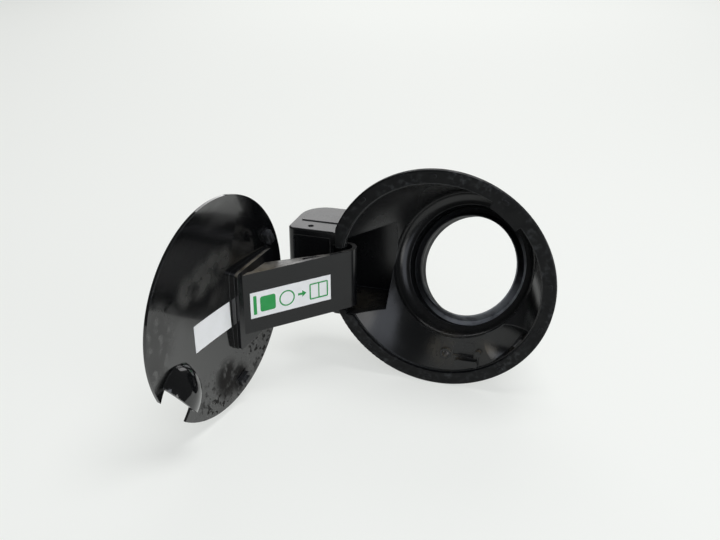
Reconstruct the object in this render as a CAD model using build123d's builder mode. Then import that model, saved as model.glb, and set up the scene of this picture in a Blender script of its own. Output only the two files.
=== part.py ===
"""Car fuel door: a filler bowl for the body side and a round door on a gooseneck arm.

The bowl is one moulding: a round flange, a funnel that runs to a tilted, trumpet-shaped
neck, and a pocket beside it with the hinge in its pod. The arm swings in that pocket
and carries the door. The door is modelled swung open.
"""

import os
from math import atan2, cos, degrees, hypot, radians, sin

from build123d import *

os.makedirs("parts", exist_ok=True)

# Frame: X to the right of the bowl, Y into the car body, Z up and along the hinge.
# The origin is the centre of the flange's back face, which seats on the body.
# All lengths are in millimetres and all angles in degrees.

# Bowl, flange and soft seal
wall = 2.5
funnel_wall = 3.5
flange_radius = 76.5
flange_plate = 2.0
flange_width = 6.5
mouth_depth = 1.0
spigot_length = 8.0
seal_lip = 3.5
seal_step = 1.0
seal_web = 2.0
seal_round = 1.2
seal_gap = 0.3
flat_cut = 2.5

# Tab on the seal's inner edge and the nubs on its face
tab_reach = 4.5
tab_angle = 51.0
tab_spread = 20.0
nub_length = 5.0
nub_width = 2.6
nub_height = 0.5
nub_inset = 4.0
nub_angles = (-130.8, -93.9, -53.3, -20.0, 4.7, 55.7, 94.4, 135.2)

# Neck: tilted up and to the left, with a rounded collar round a raised filler lip
neck_x = 11.5
neck_y = 38.9
neck_z = -4.3
neck_tilt = 29.5
neck_turn = 11.7
collar_radius = 53.0
collar_height = 11.0
collar_round = 9.0
neck_hole_radius = 39.5
neck_floor = 2.5
neck_bore_radius = 36.2
neck_bore_length = 3.0
neck_groove = 8.0
neck_lip_edge = 1.0
neck_lip_edge_round = 0.4
neck_lip_wall = 1.6
neck_seal_flange = 43.0
neck_seal_flange_plate = 1.2
neck_seal_bead = 41.6
neck_seal_tail = 3.0
neck_seal_gap = 0.2

# Hinge
hinge_x = -96.0
hinge_y = 7.0
open_angle = 99.35
pin_radius = 2.0
pin_play = 0.05
pin_recess = 1.2
pin_socket = 1.5
barrel_radius = 4.5
barrel_play = 0.5
boss_radius = 5.5
boss_play = 0.3

# Arm, in the hinge's own closed frame: first value to the door, second into the bowl
arm_top = 14.0
arm_height = 44.0
arm_plate = 3.2
foot_along = 73.8
foot_depth = -14.5
elbow_along = -16.0
elbow_depth = 44.0
elbow_bend = 7.4
web = 2.2
web_drop = 1.5
web_end = 73.0
web_shoulder = 68.0
web_shoulder_width = 5.5
web_foot = -50.0
window_start = 52.0
window_end = 66.0
window_rim = 1.4
window_width = 7.2

# Foot plate of the arm, in door coordinates: to the far side and up
foot_plate = 2.2
foot_near = -18.5
foot_far = -62.0
foot_top_near = 17.0
foot_top_far = 20.5
foot_bottom_near = -40.0
foot_bottom_far = -36.0
foot_corner = 3.0

# Hinge pocket and its pod
arm_play = 2.0
roof_room = 9.0
floor_room = 5.0
pod_left_room = 13.0
pod_reach = 54.0
pod_corner = 16.0
pod_front_corner = 5.0
pod_play = 1.7
passage_reach = 19.0
notch_reach = 29.0
pod_panel_inset = 5.0
pod_roof_inset = 3.0
pod_roof_start = 9.0
pod_roof_rise = 0.6
pod_panel_depth = 0.8
pod_edge_round = 1.2

# Door panel
door_radius = 75.0
door_wall = 2.6
door_dome = 5.0
door_gap = 2.0
pad_rise = 0.5
pad_margin = 0.6
edge_round = 0.8

# Finger scoop: half of a rounded hood that opens at the door's rim
scoop_angle = -40.0
scoop_start_inset = 35.0
scoop_end_inset = 8.5
scoop_radius = 22.0
scoop_drop = 9.0
scoop_wall = 2.0
scoop_play = 1.5
hood_play = 1.0

# Buffers near the door's rim
buffer_length = 10.0
buffer_width = 6.0
buffer_height = 3.0
buffer_nose_length = 6.0
buffer_nose_width = 3.0
buffer_nose = 2.0
buffer_pad_rise = 0.6
buffer_round = 1.0
upper_buffer_inset = 9.0
upper_buffer_angle = 154.4
lower_buffer_inset = 9.0
lower_buffer_angle = -108.2

# Details on the bowl's lower shelf
drain_inset = 12.7
drain_angle = -84.0
drain_radius = 2.5
drain_wall = 1.6
drain_length = 9.0
peg_inset = 10.1
peg_angle = -60.5
peg_radius = 2.0
peg_height = 3.0
rib_width = 1.4
rib_length = 9.0
rib_height = 1.2
shelf_inset = 5.3
shelf_angle = -70.6
shelf_length = 16.0
shelf_width = 5.0
shelf_height = 3.2
shelf_round = 1.5
panel_inset = 15.0
panel_angle = -70.0
panel_length = 15.0
panel_width = 11.0
panel_depth = 1.8

# Catch beside the scoop recess
catch_angle = -35.0
catch_length = 8.0
catch_height = 6.0
catch_depth = 1.8
catch_reach = 1.9
catch_grip = 3.5
catch_gap = 0.2
catch_round = 0.8

# Leaf spring beside the barrel
leaf = 0.7
leaf_height = 20.0
leaf_play = 0.3
leaf_reach = 7.0
leaf_bend = 3.4

# Stickers
sticker = 0.25
arm_label_length = 61.0
arm_label_height = 19.0
arm_label_start = 8.0
arm_label_top = -0.3
door_label_place = (3.4, -12.6)
door_label_length = 40.0
door_label_height = 18.8

# Values that follow from the ones above
flange_front = -flange_plate
mouth_radius = flange_radius - flange_width
seal_radius = flange_radius + seal_lip
seal_inner_radius = mouth_radius + seal_step
flange_flat = flange_radius - flat_cut
nub_radius = seal_radius - nub_inset
catch_tip = mouth_radius - catch_reach
catch_tail = mouth_radius + catch_grip
hood_limit = catch_tip - hood_play
seal_front = flange_front - seal_web
spigot_radius = mouth_radius + wall
funnel_start = flange_front + mouth_depth
arm_bottom = arm_top - arm_height
pocket_top = arm_top + roof_room
pocket_bottom = arm_bottom - floor_room
pod_top = pocket_top + wall
pod_bottom = pocket_bottom - wall
pocket_left = hinge_x - pod_left_room
pod_right = hinge_x + pod_reach
passage_left = hinge_x + passage_reach
notch_left = hinge_x + notch_reach
pocket_front = hinge_y - barrel_radius - barrel_play
door_centre = -hinge_x
door_rim = seal_front - door_gap - hinge_y
pad_depth = door_rim - pad_rise
neck_outer = collar_radius + wall
neck_wall_radius = collar_radius - collar_round
neck_back = neck_groove + neck_floor
neck_lip_foot = neck_hole_radius + neck_seal_gap
neck_seal_tube = neck_hole_radius - neck_seal_gap
scoop_start = door_radius - scoop_start_inset
scoop_end = door_radius - scoop_end_inset

# Frames: the hinge with the door shut, the hinge with the door open, and the neck
shut = Plane(origin=(hinge_x, hinge_y, 0), x_dir=(1, 0, 0), z_dir=(0, 0, 1))
swing = shut.rotated((0, 0, -open_angle))
neck_axis = Vector(0, 1, 0).rotate(Axis.X, -neck_tilt).rotate(Axis.Z, -neck_turn)
neck_side = Vector(1, 0, 0).rotate(Axis.Z, -neck_turn)
neck_origin = Vector(neck_x, neck_y, neck_z)
neck_section = Plane(origin=neck_origin, x_dir=neck_side, z_dir=neck_side.cross(neck_axis))


def polar_place(radius: float, angle: float) -> tuple[float, float]:
    """Place at a distance from an axis and an angle up from its right."""
    return (radius * cos(radians(angle)), radius * sin(radians(angle)))


upper_buffer_place = polar_place(door_radius - upper_buffer_inset, upper_buffer_angle)
lower_buffer_place = polar_place(door_radius - lower_buffer_inset, lower_buffer_angle)
drain_place = polar_place(mouth_radius - drain_inset, drain_angle)
peg_place = polar_place(mouth_radius - peg_inset, peg_angle)
shelf_place = polar_place(mouth_radius - shelf_inset, shelf_angle)
panel_place = polar_place(mouth_radius - panel_inset, panel_angle)


def neck_plane(depth: float) -> Plane:
    """Plane across the neck, facing out of the bowl, at a depth behind the filler hole."""
    return Plane(origin=neck_origin + neck_axis * depth, x_dir=neck_side, z_dir=-neck_axis)


def door_plane(depth: float) -> Plane:
    """Plane across the open door, facing outwards, at a depth in the hinge's frame."""
    centre = swing.from_local_coords((door_centre, depth, 0))
    return Plane(origin=centre, x_dir=swing.x_dir, z_dir=-swing.y_dir)


def dome_depth(place: tuple[float, float]) -> float:
    """Depth of the door's inner face at a place given in door coordinates."""
    share = hypot(*place) / door_radius
    return door_rim - door_dome * (1 - share**2)


def scoop_plane(frame: Plane) -> Plane:
    """Plane through the scoop's axis, with its origin at the scoop's tip."""
    tip_place = polar_place(scoop_start, scoop_angle)
    mouth_place = polar_place(scoop_end, scoop_angle)
    tip = frame.from_local_coords(
        (door_centre + tip_place[0], dome_depth(tip_place) - door_wall, tip_place[1])
    )
    mouth = frame.from_local_coords(
        (door_centre + mouth_place[0], dome_depth(mouth_place) - scoop_drop, mouth_place[1])
    )
    direction = (mouth - tip).normalized()
    return Plane(origin=tip, x_dir=direction, z_dir=direction.cross(frame.y_dir))


scoop_length = scoop_plane(shut).to_local_coords(
    shut.from_local_coords(
        (
            door_centre + scoop_end * cos(radians(scoop_angle)),
            dome_depth((scoop_end, 0)) - scoop_drop,
            scoop_end * sin(radians(scoop_angle)),
        )
    )
).X

# The arm's centre line, from the foot along the label face to the elbow
foot_point = Vector(foot_along, foot_depth)
elbow_point = Vector(elbow_along, elbow_depth)
arm_dir = (elbow_point - foot_point).normalized()
arm_normal = Vector(-arm_dir.Y, arm_dir.X) * -1
leg_dir = (elbow_point * -1).normalized()
elbow_half_angle = (arm_dir * -1).get_angle(leg_dir) / 2
elbow_centre = elbow_point + (leg_dir - arm_dir).normalized() * (
    elbow_bend / sin(radians(elbow_half_angle))
)
elbow_reach = elbow_centre.length + elbow_bend + arm_plate / 2
pocket_back = hinge_y + elbow_reach + pod_play


def along(distance: float, offset: float) -> tuple[float, float]:
    """Point beside the arm's centre line, with the offset towards the label face."""
    point = foot_point + arm_dir * distance + arm_normal * offset
    return (point.X, point.Y)


def scoop_half(extra: float, run_out: float) -> None:
    """Half section of the scoop's rounded hood, grown by a skin and run out past its mouth."""
    Polyline(
        (-extra, 0),
        (scoop_length + run_out, 0),
        (scoop_length + run_out, scoop_radius + extra),
        (scoop_length, scoop_radius + extra),
    )
    EllipticalCenterArc(
        (scoop_length, 0),
        scoop_length + extra,
        scoop_radius + extra,
        start_angle=90,
        arc_size=90,
    )


def catch_plane(radius: float) -> Plane:
    """Plane across the catch, facing the bowl's axis, at a distance from that axis."""
    across = cos(radians(catch_angle))
    up = sin(radians(catch_angle))
    return Plane(
        origin=(radius * across, catch_depth, radius * up),
        x_dir=(-up, 0, across),
        z_dir=(-across, 0, -up),
    )


def tab_corner(turn: float) -> tuple[float, float]:
    """Corner of the wedge that bounds the seal's tab, well outside the flange."""
    return polar_place(2 * seal_radius, tab_angle + turn)


def dome_arc(lift: float) -> None:
    """Half of the door's dome, in the hinge's frame, from its centre to its rim."""
    TangentArc(
        (door_centre, door_rim - door_dome + lift),
        (door_centre + door_radius, door_rim + lift),
        tangent=(1, 0),
    )


def buffer_turn(place: tuple[float, float]) -> float:
    """Angle that lays a buffer along the door's rim."""
    return 90 + degrees(atan2(place[1], place[0]))


catch_inward = Axis((0, 0, 0), catch_plane(0).z_dir)
door_axis = Axis(swing.from_local_coords((door_centre, 0, 0)), swing.y_dir)
leaf_face = hinge_x - barrel_radius - leaf_play
foot_outline = (
    (foot_near, foot_top_near),
    (foot_far, foot_top_far),
    (foot_far, foot_bottom_far),
    (foot_near, foot_bottom_near),
)
label_origin = swing.from_local_coords((*along(0, arm_plate / 2), 0))
arm_face = Plane(
    origin=label_origin,
    x_dir=swing.x_dir * arm_dir.X + swing.y_dir * arm_dir.Y,
    z_dir=swing.x_dir * arm_normal.X + swing.y_dir * arm_normal.Y,
)

# Pod round the hinge pocket, as a solid block
with BuildPart() as pod:
    with BuildSketch(Plane.XY.offset(pod_bottom)):
        with BuildLine():
            FilletPolyline(
                (pod_right + wall, 0),
                (pocket_left - wall, 0),
                (pocket_left - wall, pocket_back + wall),
                (pod_right + wall, pocket_back + wall),
                radius=(0, pod_front_corner, pod_corner + wall, 0),
                close=True,
            )
        make_face()
    extrude(amount=pod_top - pod_bottom)
    fillet(pod.edges().group_by(Axis.Z)[-1], pod_edge_round)
    fillet(pod.edges().group_by(Axis.Z)[0], pod_edge_round)
    with BuildSketch(Plane.XZ):
        with Locations((passage_left, pod_bottom)):
            Rectangle(
                pod_right + wall - passage_left,
                pod_top - pod_bottom,
                align=(Align.MIN, Align.MIN),
            )
    extrude(amount=-pocket_back - wall + pod_edge_round)

# Swelling behind the flange that makes room for the door's finger scoop
with BuildPart() as scoop_bulge:
    with BuildSketch(scoop_plane(shut)):
        with BuildLine():
            scoop_half(scoop_play + wall, scoop_play + wall)
        make_face()
    revolve(axis=Axis(scoop_plane(shut).origin, scoop_plane(shut).x_dir))
    split(bisect_by=Plane.XZ, keep=Keep.BOTTOM)
    with BuildSketch(Plane.XZ):
        Circle(spigot_radius)
    extrude(amount=-spigot_radius, mode=Mode.INTERSECT)

# Recess inside the mouth for the same scoop
with BuildPart() as scoop_recess:
    with BuildSketch(scoop_plane(shut)):
        with BuildLine():
            scoop_half(scoop_play, scoop_play)
        make_face()
    revolve(axis=Axis(scoop_plane(shut).origin, scoop_plane(shut).x_dir))
    with BuildSketch(Plane.XZ.offset(scoop_radius)):
        Circle(mouth_radius)
    extrude(amount=-2 * scoop_radius, mode=Mode.INTERSECT)

# Filler bowl: outer form first, then the hollows, then the small details
with BuildPart() as bowl:
    with BuildSketch(Plane.XZ.offset(-flange_front)):
        Circle(flange_radius)
    extrude(amount=-flange_plate)
    with BuildSketch(Plane.XZ):
        Circle(spigot_radius)
    extrude(amount=-flange_plate)
    with BuildSketch(Plane.XZ):
        Circle(spigot_radius)
        Circle(mouth_radius, mode=Mode.SUBTRACT)
    extrude(amount=-spigot_length)
    with BuildSketch(Plane.XZ.offset(-flange_plate)):
        Circle(spigot_radius)
    with BuildSketch(neck_plane(funnel_wall - collar_height)):
        Circle(neck_outer)
    loft()
    with BuildSketch(neck_section):
        with BuildLine():
            Polyline(
                (neck_wall_radius + wall, neck_back),
                (0, neck_back),
                (0, -collar_height),
                (neck_outer, -collar_height),
                (neck_outer, wall - collar_height),
            )
            RadiusArc(
                (neck_outer, wall - collar_height),
                (neck_wall_radius + wall, wall - collar_height + collar_round),
                -collar_round,
            )
            Line(
                (neck_wall_radius + wall, wall - collar_height + collar_round),
                (neck_wall_radius + wall, neck_back),
            )
        make_face()
    revolve(axis=Axis(neck_origin, neck_axis))
    add(pod.part)
    add(scoop_bulge.part)

    # Mouth, funnel and neck
    with BuildSketch(Plane.XZ.offset(-flange_front)):
        Circle(mouth_radius)
    extrude(amount=-mouth_depth, mode=Mode.SUBTRACT)
    with BuildSketch(Plane.XZ.offset(-funnel_start)):
        Circle(mouth_radius)
    with BuildSketch(neck_plane(-collar_height)):
        Circle(collar_radius)
    loft(mode=Mode.SUBTRACT)
    with BuildSketch(neck_section):
        with BuildLine():
            Polyline(
                (neck_wall_radius, neck_groove),
                (neck_hole_radius, neck_groove),
                (neck_hole_radius, neck_back),
                (0, neck_back),
                (0, -collar_height),
                (collar_radius, -collar_height),
            )
            RadiusArc(
                (collar_radius, -collar_height),
                (neck_wall_radius, collar_round - collar_height),
                -collar_round,
            )
            Line(
                (neck_wall_radius, collar_round - collar_height), (neck_wall_radius, neck_groove)
            )
        make_face()
    revolve(axis=Axis(neck_origin, neck_axis), mode=Mode.SUBTRACT)
    add(scoop_recess.part, mode=Mode.SUBTRACT)

    # Hinge pocket, the arm's way out through the flange, and the flat beside it
    with BuildSketch(Plane.XY.offset(pocket_bottom)):
        with BuildLine():
            FilletPolyline(
                (pod_right, pocket_front),
                (pocket_left, pocket_front),
                (pocket_left, pocket_back),
                (pod_right, pocket_back),
                radius=(0, pod_front_corner - wall, pod_corner, 0),
                close=True,
            )
        make_face()
    extrude(amount=pocket_top - pocket_bottom, mode=Mode.SUBTRACT)
    with BuildSketch(Plane.XY.offset(arm_bottom - arm_play)):
        with Locations((passage_left, seal_front)):
            Rectangle(
                pod_right - passage_left,
                pocket_front - seal_front,
                align=(Align.MIN, Align.MIN),
            )
    extrude(amount=arm_height + 2 * arm_play, mode=Mode.SUBTRACT)
    with BuildSketch(Plane.XY.offset(pocket_bottom)):
        with Locations((notch_left, seal_front)):
            Rectangle(
                pod_right - notch_left,
                pocket_front - seal_front,
                align=(Align.MIN, Align.MIN),
            )
    extrude(amount=pocket_top - pocket_bottom, mode=Mode.SUBTRACT)
    with BuildSketch(Plane.XZ.offset(-flange_front)):
        with Locations((-flange_flat, 0)):
            Rectangle(flange_radius, 2 * flange_radius, align=(Align.MAX, Align.CENTER))
    extrude(amount=-flange_plate, mode=Mode.SUBTRACT)

    # Pivot bosses and the pin's hole, open at the top of the pod
    with BuildSketch(Plane.XY.offset(arm_top + boss_play)):
        with Locations((hinge_x, hinge_y)):
            Circle(boss_radius)
    extrude(amount=roof_room - boss_play)
    with BuildSketch(Plane.XY.offset(pocket_bottom)):
        with Locations((hinge_x, hinge_y)):
            Circle(boss_radius)
    extrude(amount=floor_room - boss_play)
    with BuildSketch(Plane.XY.offset(pod_bottom + wall - pin_socket)):
        with Locations((hinge_x, hinge_y)):
            Circle(pin_radius)
    extrude(amount=pod_top - pocket_bottom + pin_socket, mode=Mode.SUBTRACT)

    # Raised panel on the pod's roof and sunk panel on its front
    with BuildSketch(Plane.XY.offset(pod_top)):
        with Locations((pocket_left + pod_roof_inset, hinge_y + pod_roof_start)):
            Rectangle(
                passage_left - pocket_left - pod_roof_inset,
                pocket_back - pod_corner - hinge_y - pod_roof_start,
                align=(Align.MIN, Align.MIN),
            )
    extrude(amount=pod_roof_rise)
    with BuildSketch(Plane.XZ):
        with Locations((pocket_left + pod_panel_inset - wall, pod_bottom + pod_panel_inset)):
            Rectangle(
                passage_left - pocket_left - pod_panel_inset,
                pod_top - pod_bottom - 2 * pod_panel_inset,
                align=(Align.MIN, Align.MIN),
            )
    extrude(amount=-pod_panel_depth, mode=Mode.SUBTRACT)

    # Drain, peg, rib, shelf and sunk panel on the lower shelf
    with BuildSketch(Plane.XZ):
        with Locations(drain_place):
            Circle(drain_radius + drain_wall)
    extrude(amount=-drain_length)
    with BuildSketch(Plane.XZ.offset(-flange_front)):
        with Locations(drain_place):
            Circle(drain_radius)
    extrude(amount=-flange_plate - drain_length, mode=Mode.SUBTRACT)
    with BuildSketch(Plane.XZ.offset(-funnel_start)):
        with Locations(panel_place):
            Rectangle(panel_length, panel_width)
    extrude(amount=funnel_start - panel_depth, mode=Mode.SUBTRACT)
    with BuildSketch(Plane.XZ.offset(-flange_plate)):
        with Locations(peg_place):
            Circle(peg_radius)
    extrude(amount=flange_plate + peg_height)
    with BuildSketch(Plane.XZ.offset(-flange_plate)):
        with Locations(shelf_place):
            RectangleRounded(shelf_length, shelf_width, shelf_round)
    extrude(amount=flange_plate + shelf_height)
    with BuildSketch(Plane.XZ.offset(-flange_plate)):
        with Locations((peg_place[0], peg_place[1] - rib_length / 2)):
            Rectangle(rib_width, rib_length)
    extrude(amount=flange_plate + rib_height)

    # Window for the catch
    with BuildSketch(catch_plane(catch_tail + wall)):
        Rectangle(catch_length + 2 * catch_gap, catch_height + 2 * catch_gap)
    extrude(amount=catch_tail + wall - catch_tip, mode=Mode.SUBTRACT)

bowl.part.label = "filler_bowl"
export_step(bowl.part, "parts/filler_bowl.step")

# Soft seal round the flange, with its tab, nubs and the gap for the arm
with BuildPart() as seal:
    with BuildSketch(Plane.XY):
        Polygon(
            (seal_inner_radius, seal_front),
            (seal_radius, seal_front),
            (seal_radius, 0),
            (flange_radius + seal_gap, 0),
            (flange_radius + seal_gap, flange_front),
            (seal_inner_radius, flange_front),
            align=None,
        )
    revolve(axis=Axis.Y)
    fillet(seal.edges().group_by(Axis.Y)[0].sort_by(SortBy.LENGTH)[-1], seal_round)
    with BuildSketch(Plane.XZ.offset(-seal_front)):
        Circle(seal_inner_radius + seal_web)
        Circle(seal_inner_radius - tab_reach, mode=Mode.SUBTRACT)
        Polygon(
            (0, 0),
            tab_corner(-tab_spread / 2),
            tab_corner(tab_spread / 2),
            align=None,
            mode=Mode.INTERSECT,
        )
    extrude(amount=-seal_web)
    with BuildSketch(Plane.XZ.offset(-seal_front)):
        for angle in nub_angles:
            with Locations(polar_place(nub_radius, angle)):
                SlotOverall(nub_length, nub_width, rotation=90 + angle)
    extrude(amount=nub_height)
    with BuildSketch(Plane.XY.offset(arm_bottom - arm_play)):
        with Locations((-seal_radius, seal_front - nub_height)):
            Rectangle(seal_radius, nub_height - seal_front, align=(Align.MIN, Align.MIN))
    extrude(amount=arm_height + 2 * arm_play, mode=Mode.SUBTRACT)
    with BuildSketch(Plane.XY.offset(pocket_bottom)):
        with Locations((notch_left, seal_front)):
            Rectangle(-notch_left, -seal_front, align=(Align.MIN, Align.MIN))
    extrude(amount=pocket_top - pocket_bottom, mode=Mode.SUBTRACT)
    with BuildSketch(Plane.XZ.offset(-seal_front)):
        with Locations((-flange_flat, 0)):
            Rectangle(seal_radius, 2 * seal_radius, align=(Align.MAX, Align.CENTER))
    extrude(amount=seal_front, mode=Mode.SUBTRACT)

seal.part.label = "flange_seal"
export_step(seal.part, "parts/flange_seal.step")

# Seal in the neck: a raised lip in front, a foot in the groove and a bead behind the floor
with BuildPart() as neck_seal:
    with BuildSketch(neck_section):
        Polygon(
            (neck_bore_radius, 0),
            (neck_bore_radius + neck_lip_edge, 0),
            (neck_lip_foot, neck_groove - neck_seal_flange_plate),
            (neck_seal_flange, neck_groove - neck_seal_flange_plate),
            (neck_seal_flange, neck_groove),
            (neck_seal_tube, neck_groove),
            (neck_seal_tube, neck_back),
            (neck_seal_bead, neck_back),
            (neck_seal_bead, neck_back + neck_seal_tail),
            (neck_seal_tube - neck_lip_wall, neck_back + neck_seal_tail),
            (neck_seal_tube - neck_lip_wall, neck_groove),
            (neck_bore_radius, neck_bore_length),
            align=None,
        )
    revolve(axis=Axis(neck_origin, neck_axis))
    fillet(neck_seal.edges().sort_by(Axis(neck_origin, neck_axis))[:2], neck_lip_edge_round)

neck_seal.part.label = "neck_seal"
export_step(neck_seal.part, "parts/neck_seal.step")

# Catch in its window
with BuildPart() as catch:
    with BuildSketch(catch_plane(catch_tail)):
        Rectangle(catch_length, catch_height)
    extrude(amount=catch_tail - catch_tip)
    fillet(catch.edges().group_by(catch_inward)[-1], catch_round)

catch.part.label = "catch"
export_step(catch.part, "parts/catch.step")

# Gooseneck arm: label plate, elbow, barrel, side webs and foot
with BuildPart() as arm:
    with BuildSketch(swing.offset(arm_bottom)):
        with BuildLine():
            FilletPolyline(foot_point, elbow_point, (0, 0), radius=elbow_bend)
        trace(line_width=arm_plate)
        Circle(barrel_radius)
    extrude(amount=arm_height)
    for level in (arm_bottom + web_drop, arm_top - web_drop - web):
        with BuildSketch(swing.offset(level)):
            Polygon(
                along(0, 0),
                (door_centre + web_foot, pad_depth),
                along(web_shoulder, -web_shoulder_width),
                along(web_end, 0),
                align=None,
            )
        extrude(amount=web)
    with BuildSketch(swing.offset(arm_top - web_drop - web)):
        Polygon(
            along(window_start, -arm_plate / 2 - window_rim),
            along(window_end, -arm_plate / 2 - window_rim),
            along(window_end, -web_shoulder_width + window_rim),
            along(window_start, -window_width),
            align=None,
        )
    extrude(amount=web, mode=Mode.SUBTRACT)
    with BuildSketch(door_plane(pad_depth + foot_plate)):
        Polygon(*foot_outline, align=None)
        fillet(vertices(), foot_corner)
    extrude(amount=foot_plate)
    split(bisect_by=door_plane(pad_depth), keep=Keep.BOTTOM)
    with BuildSketch(swing.offset(arm_bottom)):
        Circle(pin_radius + pin_play)
    extrude(amount=arm_height, mode=Mode.SUBTRACT)

arm.part.label = "hinge_arm"
export_step(arm.part, "parts/hinge_arm.step")

# Hinge pin, pressed into the pod's roof and floor
with BuildPart() as pin:
    with BuildSketch(Plane.XY.offset(pocket_bottom - pin_socket)):
        with Locations((hinge_x, hinge_y)):
            Circle(pin_radius)
    extrude(amount=pod_top - pin_recess - pocket_bottom + pin_socket)

pin.part.label = "hinge_pin"
export_step(pin.part, "parts/hinge_pin.step")

# Leaf spring between the pod's side and the arm's barrel
with BuildPart() as spring:
    with BuildSketch(Plane.XY.offset((arm_top + arm_bottom - leaf_height) / 2)):
        with BuildLine():
            FilletPolyline(
                (pocket_left + leaf / 2, hinge_y + leaf_reach),
                (pocket_left + leaf / 2, pocket_front + leaf_play + leaf / 2),
                (leaf_face - leaf / 2, pocket_front + leaf_play + leaf / 2),
                (leaf_face - leaf / 2, hinge_y + leaf_reach),
                radius=leaf_bend,
            )
        trace(line_width=leaf)
    extrude(amount=leaf_height)

spring.part.label = "detent_spring"
export_step(spring.part, "parts/detent_spring.step")

# Hollow of the door: the inside of its dome, with the pads left standing
with BuildPart() as door_hollow:
    with BuildSketch(swing):
        with BuildLine():
            Polyline(
                (door_centre, door_rim - door_dome),
                (door_centre, door_rim),
                (door_centre + door_radius, door_rim),
            )
            dome_arc(0)
        make_face()
    revolve(axis=door_axis)
    with BuildSketch(door_plane(pad_depth)):
        Polygon(*foot_outline, align=None)
        fillet(vertices(), foot_corner)
        offset(amount=pad_margin)
    extrude(amount=door_dome, mode=Mode.SUBTRACT)
    for place in (upper_buffer_place, lower_buffer_place):
        with BuildSketch(door_plane(dome_depth(place) + buffer_pad_rise)):
            with Locations(place):
                Rectangle(
                    buffer_length + 2 * pad_margin,
                    buffer_width + 2 * pad_margin,
                    rotation=buffer_turn(place),
                )
        extrude(amount=door_dome, mode=Mode.SUBTRACT)

# Hood of the finger scoop, kept on the inner side of the door's skin
with BuildPart() as scoop_hood:
    with BuildSketch(scoop_plane(swing)):
        with BuildLine():
            scoop_half(0, edge_round)
        make_face()
    revolve(axis=Axis(scoop_plane(swing).origin, scoop_plane(swing).x_dir))
    with BuildSketch(swing):
        with BuildLine():
            Polyline(
                (door_centre, door_rim - door_dome - door_wall),
                (door_centre, door_rim + scoop_radius),
                (door_centre + door_radius, door_rim + scoop_radius),
                (door_centre + door_radius, door_rim - door_wall),
            )
            dome_arc(-door_wall)
        make_face()
    revolve(axis=door_axis, mode=Mode.INTERSECT)
    with BuildSketch(door_plane(door_rim + scoop_radius)):
        Circle(hood_limit)
    extrude(amount=scoop_radius + door_dome + door_wall, mode=Mode.INTERSECT)

# Door panel: domed skin, pads and scoop
with BuildPart() as door:
    with BuildSketch(swing):
        with BuildLine():
            Polyline(
                (door_centre, door_rim - door_dome - door_wall),
                (door_centre, door_rim),
                (door_centre + door_radius, door_rim),
                (door_centre + door_radius, door_rim - door_wall),
            )
            dome_arc(-door_wall)
        make_face()
    revolve(axis=door_axis)
    rim_edges = door.edges().filter_by(GeomType.CIRCLE).filter_by(lambda edge: edge.is_closed)
    fillet(rim_edges.sort_by(door_axis)[0], edge_round)
    add(door_hollow.part, mode=Mode.SUBTRACT)
    add(scoop_hood.part)
    with BuildSketch(scoop_plane(swing)):
        with BuildLine():
            scoop_half(-scoop_wall, door_radius - scoop_end + scoop_wall)
        make_face()
    revolve(
        axis=Axis(scoop_plane(swing).origin, scoop_plane(swing).x_dir), mode=Mode.SUBTRACT
    )

door.part.label = "door_panel"
export_step(door.part, "parts/door_panel.step")

# Buffers on their pads
for name, place in (("upper_buffer", upper_buffer_place), ("lower_buffer", lower_buffer_place)):
    seat = dome_depth(place) + buffer_pad_rise
    with BuildPart() as stop:
        with BuildSketch(door_plane(seat + buffer_height)):
            with Locations(place):
                RectangleRounded(
                    buffer_length, buffer_width, buffer_round, rotation=buffer_turn(place)
                )
        extrude(amount=buffer_height)
        with BuildSketch(door_plane(seat + buffer_height + buffer_nose)):
            with Locations(place):
                RectangleRounded(
                    buffer_nose_length, buffer_nose_width, buffer_round, rotation=buffer_turn(place)
                )
        extrude(amount=buffer_nose)
    stop.part.label = name
    export_step(stop.part, f"parts/{name}.step")

# Sticker on the arm's label face
with BuildPart() as arm_label:
    with BuildSketch(arm_face):
        with Locations((arm_label_start, arm_label_top)):
            Rectangle(arm_label_length, arm_label_height, align=(Align.MIN, Align.MAX))
    extrude(amount=sticker)

arm_label.part.label = "arm_label"
export_step(arm_label.part, "parts/arm_label.step")

# Sticker on the inside of the door, bent to its dome
with BuildPart() as door_label:
    with BuildSketch(swing):
        with BuildLine():
            dome_arc(0)
            Line(
                (door_centre + door_radius, door_rim),
                (door_centre + door_radius, door_rim + sticker),
            )
            dome_arc(sticker)
            Line(
                (door_centre, door_rim - door_dome + sticker),
                (door_centre, door_rim - door_dome),
            )
        make_face()
    revolve(axis=door_axis)
    with BuildSketch(door_plane(door_rim)):
        with Locations(door_label_place):
            Rectangle(door_label_length, door_label_height)
    extrude(amount=door_dome, mode=Mode.INTERSECT)

door_label.part.label = "door_label"
export_step(door_label.part, "parts/door_label.step")
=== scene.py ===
"""Looks of a car fuel door and its filler bowl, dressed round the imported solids."""

import logging
import math
from collections.abc import Callable
from dataclasses import dataclass, field
from enum import Enum

import bpy
from mathutils import Matrix, Vector


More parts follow.
